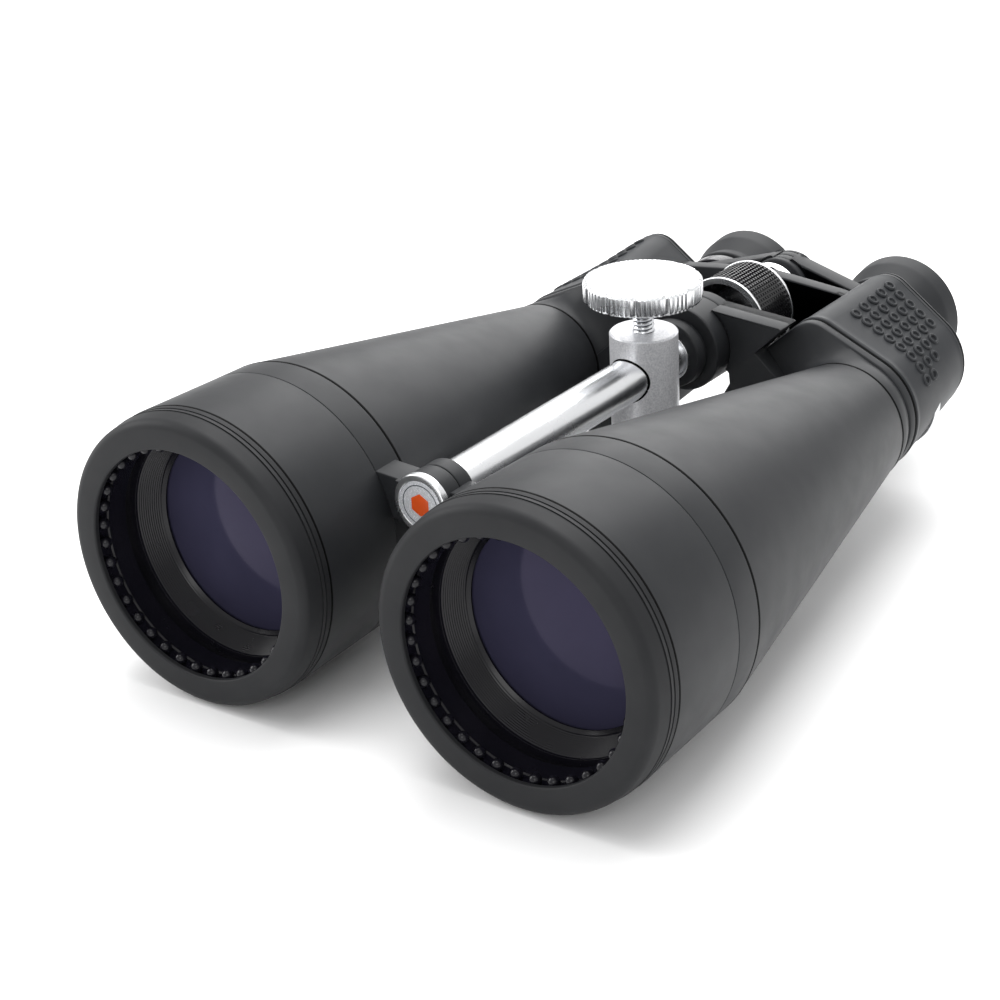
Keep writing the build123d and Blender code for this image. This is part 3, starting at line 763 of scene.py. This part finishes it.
def eyepiece(name, side):
    """Bridge arm, tube, rubber cup and eye lens. Only the right tube turns for the diopter."""
    if side > 0:
        body = "right_ocular"
        arm_body = "right_eyepiece_arm"
        own = (BRIDGE_ARM_START, 284.85)
    else:
        body = "left_eyepiece"
        arm_body = "left_eyepiece"
        own = (285.15, BRIDGE_ARM_END)
    far = (EYE_X, EYE_Z, 19.2)
    hub = slab(arm_outline(HUB_R, far), *own, 0.5)
    plate = slab(arm_outline(HUB_R, far, HUB_CLEARANCE), BRIDGE_ARM_START, BRIDGE_ARM_END, 0.6)
    arm = join(hub, plate)
    show(f"{name}_bridge_arm_look", mirrored(arm, side), arm_body, [f"{name}_bridge_arm"])
    shell = turned([
        (8.0, 266.0), (9.6, 266.0, 0.4), (9.6, 280.4), (16.0, 280.4, 0.6), (16.0, 298.4), (18.6, 298.4),
        (18.6, 311.0), (12.0, 311.0, 0.4), (12.0, 282.4), (8.0, 282.4),
    ], EYE_X, EYE_Z)
    if side < 0:
        band = [(15.0, 289.4), (20.2, 289.4, 0.6), (20.2, 296.4, 0.6), (15.0, 296.4)]
        shell = join(shell, turned(band, EYE_X, EYE_Z))
    show(f"{name}_ocular_tube_look", mirrored(shell, side), body, [f"{name}_ocular_tube"])
    cup = turned([
        (18.6, 298.4), (20.7, 298.4, 0.8), (20.3, 303.0, 3.0), (23.4, 311.0, 8.0),
        (24.2, 318.4, 0.9), (23.2, 320.0, 0.8), (21.2, 320.0, 1.2), (15.5, 312.8, 2.0), (13.2, 311.0),
        (18.6, 311.0),
    ], EYE_X, EYE_Z)
    show(f"{name}_eyecup_look", mirrored(cup, side), body, [f"{name}_eyecup"])
    glass = lens(11.98, 303.5, 307.0, -1.2, 1.6, EYE_X, EYE_Z)
    show(f"{name}_eye_lens_look", mirrored(glass, side), body, [f"{name}_eye_lens"])


def diopter_ring():
    """Ring with fine ribs round the right eyepiece."""
    def wave(turn, radius, station):
        ribbed = 290.3 < station < 295.5 and radius > 19.0
        return radius - (0.55 * (0.5 + 0.5 * cos(DIOPTER_RIBS * turn)) if ribbed else 0.0)

    profile = [(16.05, 289.4), (19.6, 289.4), (20.2, 290.0), (20.2, 290.2), (20.2, 290.6), (20.2, 295.2),
               (20.2, 295.6), (20.2, 295.8), (19.6, 296.4), (16.05, 296.4)]
    shape = revolve(profile, (EYE_X, EYE_Z), segments=480, wave=wave)
    show("diopter_ring_look", shape, "diopter_ring", ["diopter_ring"], sharp=50)


# Middle plane

def rod_and_collars():
    """Rod with its cap, washer and collars, and the hub of the focusing bridge."""
    def add(part, corners, body="spine"):
        show(part + "_look", turned(corners, 0, HINGE_Z), body, [part])

    add("rod", [(0, 46.1), (ROD_R, 46.1), (ROD_R, 196.5), (0, 196.5)])
    add("rod_cap", [(0, 44.2), (8.5, 44.2), (8.5, 43.6, 0.2), (10.7, 43.6, 0.7), (10.7, 46.1), (0, 46.1)])
    add("rod_washer", [(8.0, 194.6), (9.3, 194.6, 0.3), (9.3, 196.5, 0.2), (8.0, 196.5)])
    add("knuckle_cap", [(8.0, 196.5), (12.6, 196.5, 0.8), (13.0, 201.2, 0.5), (11.8, 201.2), (11.8, 203.7),
                        (8.0, 203.7)])
    add("rear_collar", [(8.0, 268.3), (12.6, 268.3, 0.8), (12.6, 274.8, 1.6), (8.0, 274.8)])
    add("bridge_hub", [(0, 280.4), (5.0, 280.4), (5.0, 278.4), (12.6, 278.4, 0.8), (12.6, 280.7),
                       (8.0, 280.7), (8.0, 289.3), (12.6, 289.3), (12.6, 291.5, 1.2), (0, 291.5)],
        "focus_bridge")


def badge():
    """Pale disc, a fine dark line and a plain hexagon."""
    disc = turned([(0, 43.72), (8.3, 43.72, 0.1), (8.3, 44.2), (0, 44.2)], 0, HINGE_Z)
    hexagon_r = 4.0
    show("rod_badge_look", disc, "spine", ["rod_badge"])
    line = turned([(6.75, 43.66), (7.05, 43.66), (7.05, 43.74), (6.75, 43.74)], 0, HINGE_Z)
    show("badge_line", line, "spine", slot="badge_enamel", look="badge_line")
    corners = []
    for index in range(6):
        turn = radians(60 * index + 30)
        corners.append((hexagon_r * cos(turn), HINGE_Z + hexagon_r * sin(turn), 0.5))
    show("badge_hexagon", slab(rounded(corners), 43.6, 43.74, 0.04), "spine", slot="badge_enamel",
         look="orange_enamel")


def focus_wheel():
    """Drum with a grid of small square teeth, between two bright rims."""
    first = WHEEL_START + RIM_WIDTH
    last = WHEEL_END - RIM_WIDTH
    base_r = WHEEL_R - 0.9
    shapes = [turned([
        (8.05, 246.0), (11.0, 246.0, 0.5), (11.0, 252.0), (15.4, 252.0), (15.4, first), (base_r, first),
        (base_r, last), (8.05, last),
    ], 0, HINGE_Z)]
    pitch = (last - first) / TEETH_ROWS
    angle = 2 * pi / TEETH_AROUND
    half = 0.34
    for row in range(TEETH_ROWS):
        station = first + pitch * (row + 0.5)
        for step in range(TEETH_AROUND):
            shapes.append(tooth(station, half * pitch, angle * step, half * angle, base_r))
    show("focus_wheel_look", join(*shapes), "focus_wheel", ["focus_wheel"])
    rims = []
    for start in (WHEEL_START, last):
        end = start + RIM_WIDTH
        rims.append(turned([(15.4, start), (17.9, start, 0.4), (17.9, end, 0.3), (15.4, end)], 0, HINGE_Z))
    show("focus_wheel_rims_look", join(*rims), "focus_wheel", ["focus_wheel_rims"])


def tooth(station, half_length, turn, half_turn, base_r):
    """Small square tooth with sloping sides."""
    points = []
    for radius, size in ((base_r - 0.1, 1.0), (WHEEL_R, 0.72)):
        for along, across in ((-1, -1), (1, -1), (1, 1), (-1, 1)):
            angle = turn + across * size * half_turn
            points.append((radius * cos(angle), station + along * size * half_length,
                           HINGE_Z + radius * sin(angle)))
    faces = [[3, 2, 1, 0], [4, 5, 6, 7], [0, 1, 5, 4], [1, 2, 6, 5], [2, 3, 7, 6], [3, 0, 4, 7]]
    return points, faces


def knob_wave(turn, radius, station):
    """Twelve scallops, with four fine grooves between each two."""
    if radius < KNOB_R - 1.5:
        return radius
    share = (degrees(turn) + KNOB_TURN) % SCALLOP_PITCH
    notch = min(share, SCALLOP_PITCH - share)
    if notch < SCALLOP_HALF_WIDTH:
        return radius - SCALLOP_DEPTH * cos(notch / SCALLOP_HALF_WIDTH * pi / 2)
    groove = min(abs(share - middle) for middle in KNOB_GROOVES)
    if groove < KNOB_GROOVE_HALF_WIDTH:
        return radius - KNOB_GROOVE_DEPTH * cos(groove / KNOB_GROOVE_HALF_WIDTH * pi / 2)
    return radius


def thread(radius, low, high, pitch=1.6, segments=48):
    """Helical ridge round a rod."""
    profile = ((-0.6, 0.0), (-0.5, 0.15), (0.0, 0.42), (0.0, 0.58), (-0.5, 0.85), (-0.6, 1.0))
    steps = int((high - low - pitch) / pitch * segments)
    rings = []
    for step in range(steps + 1):
        turn = 2 * pi * step / segments
        base = low + pitch * step / segments
        ring = []
        for depth, rise in profile:
            r = radius + depth
            ring.append((r * cos(turn), POST_Y + r * sin(turn), base + rise * pitch))
        rings.append(ring)
    return loft(rings)


def clamp():
    """Ribbed knob on a threaded screw."""
    profile = [
        (0, KNOB_BOTTOM), (KNOB_R - 1.8, KNOB_BOTTOM), (KNOB_R - 0.8, KNOB_BOTTOM + 0.2),
        (KNOB_R - 0.1, KNOB_BOTTOM + 0.9), (KNOB_R, KNOB_BOTTOM + 1.4), (KNOB_R, KNOB_TOP - 1.4),
        (KNOB_R - 0.1, KNOB_TOP - 0.9), (KNOB_R - 0.7, KNOB_TOP - 0.2), (KNOB_R - 1.6, KNOB_TOP),
        (0, KNOB_TOP),
    ]
    knob = revolve(profile, (0, POST_Y), "z", 1080, knob_wave)
    show("clamp_knob_look", knob, "clamp_knob", ["clamp_knob"], sharp=40)
    core = revolve([(0, 30.2), (3.35, 30.2), (3.35, 52.5), (0, 52.5)], (0, POST_Y), "z", 64)
    screw = join(core, thread(3.95, 30.4, 52.0))
    show("clamp_screw_look", screw, "clamp_knob", ["clamp_screw"], sharp=50)


def post_seams():
    """Dark line round each mouth of the post's bore."""
    steps = 96
    radius = ROD_R + 0.1
    for name, end in (("post_front_seam", -1), ("post_rear_seam", 1)):
        path = []
        for step in range(steps):
            turn = 2 * pi * step / steps
            x = radius * cos(turn)
            z = HINGE_Z + radius * sin(turn)
            path.append(Vector((x, POST_Y + end * sqrt(POST_R ** 2 - x * x), z)))
        show(name, tube(path, 0.4), "tripod_post", slot="blasted_aluminium", look="seam")


# Stage

def make_floor():
    """Pale floor under the binoculars."""
    mesh = bpy.data.meshes.new("floor")
    size = FLOOR_HALF
    corners = [(-size, -size, 0), (size, -size, 0), (size, size, 0), (-size, size, 0)]
    mesh.from_pydata(corners, [], [[0, 1, 2, 3]])
    floor = bpy.data.objects.new("floor", mesh)
    bpy.context.scene.collection.objects.link(floor)
    nodes = Nodes("floor_white")
    nodes.link(nodes.ramp(nodes.noise(6.0), (0.90, 0.90, 0.90), (0.93, 0.93, 0.93)),
               nodes.shader.inputs["Base Color"])
    nodes.set(Roughness=0.6, Specular_IOR_Level=0.2)
    mesh.materials.append(nodes.material)


def light_studio():
    """White surroundings and four square lamps: name, place, aim, width and power."""
    world = bpy.data.worlds.new("studio")
    bpy.context.scene.world = world
    world.use_nodes = True
    background = world.node_tree.nodes["Background"]
    background.inputs["Color"].default_value = (1, 1, 1, 1)
    background.inputs["Strength"].default_value = WORLD_STRENGTH

    lamps = [
        ("top_softbox", (-0.1, 0.25, 1.3), (0, 0, 0), 1.2, 20.0),
        ("back_softbox", (-0.4, 1.5, 0.9), (0, 0, 0.05), 1.4, 16.0),
        ("left_softbox", (-1.3, -0.5, 0.7), (0, 0, 0.05), 0.8, 9.0),
        ("front_softbox", (0.6, -1.4, 0.9), (0, 0, 0.05), 0.7, 4.0),
    ]
    for name, spot, aim, width, power in lamps:
        light = bpy.data.lights.new(name, "AREA")
        light.shape = "SQUARE"
        light.size = width
        light.energy = power
        lamp = bpy.data.objects.new(name, light)
        lamp.location = spot
        lamp.rotation_mode = "QUATERNION"
        lamp.rotation_quaternion = (Vector(aim) - Vector(spot)).to_track_quat("-Z", "Y")
        bpy.context.scene.collection.objects.link(lamp)
    bpy.context.scene.view_settings.view_transform = "Standard"


def place_camera():
    """Camera that looks at CAMERA_AIM from its azimuth and elevation, rolled a little."""
    azimuth = radians(CAMERA_AZIMUTH)
    elevation = radians(CAMERA_ELEVATION)
    roll = radians(CAMERA_ROLL)
    back = Vector((sin(azimuth) * cos(elevation), -cos(azimuth) * cos(elevation), sin(elevation)))
    across = Vector((cos(azimuth), sin(azimuth), 0.0))
    up = back.cross(across)
    right = across * cos(roll) + up * sin(roll)
    top = up * cos(roll) - across * sin(roll)
    data = bpy.data.cameras.new("camera")
    data.lens = CAMERA_LENS
    data.sensor_width = CAMERA_SENSOR
    camera = bpy.data.objects.new("camera", data)
    spot = place(*CAMERA_AIM) + back * CAMERA_DISTANCE
    rows = [[right[i], top[i], back[i], spot[i]] for i in range(3)]
    camera.matrix_world = Matrix(rows + [[0, 0, 0, 1]])
    bpy.context.scene.collection.objects.link(camera)
    bpy.context.scene.camera = camera


paint_cad_nodes()
for side_name, side_sign in SIDES:
    objective_end(side_name, side_sign)
    front_bracket(side_name, side_sign)
    housing(side_name, side_sign)
    grip_cover(side_name, side_sign)
    rear_cover(side_name, side_sign)
    eyepiece(side_name, side_sign)
diopter_ring()
rod_and_collars()
badge()
focus_wheel()
clamp()
post_seams()
make_floor()
light_studio()
place_camera()
